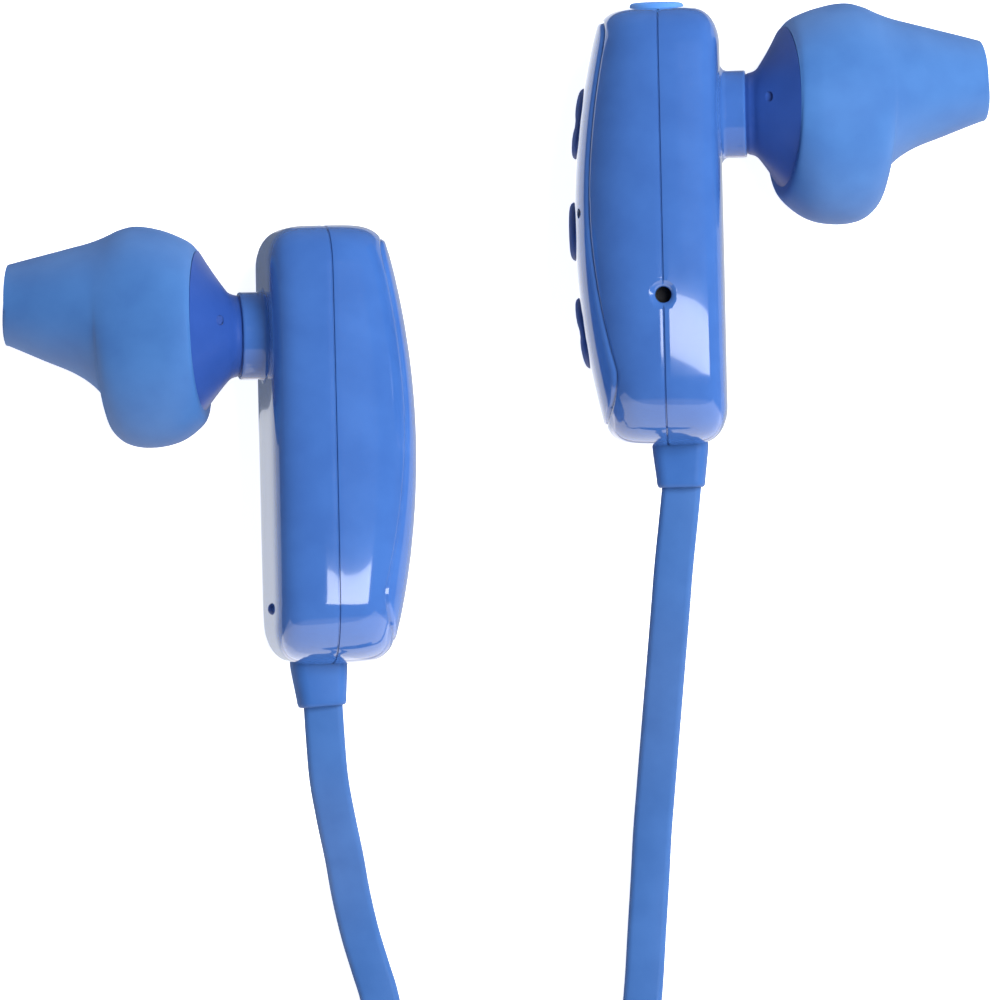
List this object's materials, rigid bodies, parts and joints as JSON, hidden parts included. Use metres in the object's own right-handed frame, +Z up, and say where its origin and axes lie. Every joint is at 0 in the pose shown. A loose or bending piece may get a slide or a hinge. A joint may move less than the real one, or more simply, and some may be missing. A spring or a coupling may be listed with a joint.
{
  "type": "neckband earphones",
  "caption": "Wireless neckband earphones: upright pods with silicone ear tips joined by a flat cable, with side buttons and a covered charging port on the right pod.",
  "frame": {"origin": "middle of the footprint of the two earpieces, on the surface they lie on; the neck cable is left out of the footprint", "axes": "+X towards the wearer's right earpiece, +Y up the pods, +Z up from the surface to the pods' front edges"},
  "size_m": [0.0892, 0.1449, 0.0179],
  "materials": {
    "shell_blue": "gloss",
    "panel_blue": "gloss",
    "button_blue": "satin",
    "cover_rubber": "matte",
    "bud_blue": "satin",
    "tip_silicone": "matte",
    "relief_rubber": "matte",
    "cable_jacket": "satin",
    "tie_rubber": "matte",
    "seal_silicone": "matte",
    "foam": "matte",
    "board_green": "satin",
    "switch_body": "satin",
    "plated_metal": "satin",
    "metal_mesh": "satin",
    "led_white": "gloss",
    "clear_pipe": "clear",
    "cell_foil": "satin",
    "wire_red": "gloss"
  },
  "bodies": {
    "pods": {"right_outer_shell": "shell_blue", "right_inner_shell": "shell_blue", "right_face_panel": "panel_blue", "button_seal_sheet": "seal_silicone", "tact_switches": "switch_body", "main_circuit_board": "board_green", "bluetooth_module": "plated_metal", "micro_usb_socket": "plated_metal", "board_screws": "plated_metal", "microphone_capsule": "plated_metal", "microphone_gasket": "seal_silicone", "status_led": "led_white", "led_light_pipe": "clear_pipe", "port_cover_anchor": "cover_rubber", "right_bud_housing": "bud_blue", "right_vent_mesh": "metal_mesh", "right_speaker_driver": "plated_metal", "right_driver_gasket": "foam", "right_bud_front": "bud_blue", "right_sound_mesh": "metal_mesh", "right_driver_wires": "wire_red", "right_strain_relief": "relief_rubber", "left_outer_shell": "shell_blue", "left_inner_shell": "shell_blue", "left_face_panel": "panel_blue", "battery_cell": "cell_foil", "battery_protection_board": "board_green", "battery_foam_pad": "foam", "left_bud_housing": "bud_blue", "left_vent_mesh": "metal_mesh", "left_speaker_driver": "plated_metal", "left_driver_gasket": "foam", "left_bud_front": "bud_blue", "left_sound_mesh": "metal_mesh", "left_driver_wires": "wire_red", "left_strain_relief": "relief_rubber", "neck_cable_left": "cable_jacket", "neck_cable_right": "cable_jacket", "neck_cable_coil": "cable_jacket", "cable_tie": "tie_rubber"},
    "volume_up": {"volume_up_button": "button_blue"},
    "play": {"play_button": "button_blue"},
    "volume_down": {"volume_down_button": "button_blue"},
    "charging_cover": {"port_cover": "cover_rubber"},
    "right_tip": {"right_ear_tip": "tip_silicone"},
    "left_tip": {"left_ear_tip": "tip_silicone"}
  },
  "joints": [
    {"name": "volume_up_press", "type": "slide", "parent": "pods", "child": "volume_up", "axis": [0.9988, 0.0227, 0.0436], "range_m": [0, 0.00035], "stiffness_N_per_m": 1000},
    {"name": "play_press", "type": "slide", "parent": "pods", "child": "play", "axis": [0.9988, 0.0227, 0.0436], "range_m": [0, 0.00035], "stiffness_N_per_m": 1000},
    {"name": "volume_down_press", "type": "slide", "parent": "pods", "child": "volume_down", "axis": [0.9988, 0.0227, 0.0436], "range_m": [0, 0.00035], "stiffness_N_per_m": 1000},
    {"name": "charging_cover_swing", "type": "hinge", "parent": "pods", "child": "charging_cover", "pos_m": [0.01501, 0.0311, 0.00428], "axis": [-0.9988, -0.0227, -0.0436], "range_deg": [0, 105]},
    {"name": "right_tip_pull", "type": "slide", "parent": "pods", "child": "right_tip", "axis": [0.9677, 0.1464, -0.2055], "range_m": [0, 0.012]},
    {"name": "left_tip_pull", "type": "slide", "parent": "pods", "child": "left_tip", "axis": [-0.9885, 0.102, -0.1115], "range_m": [0, 0.012]}
  ]
}
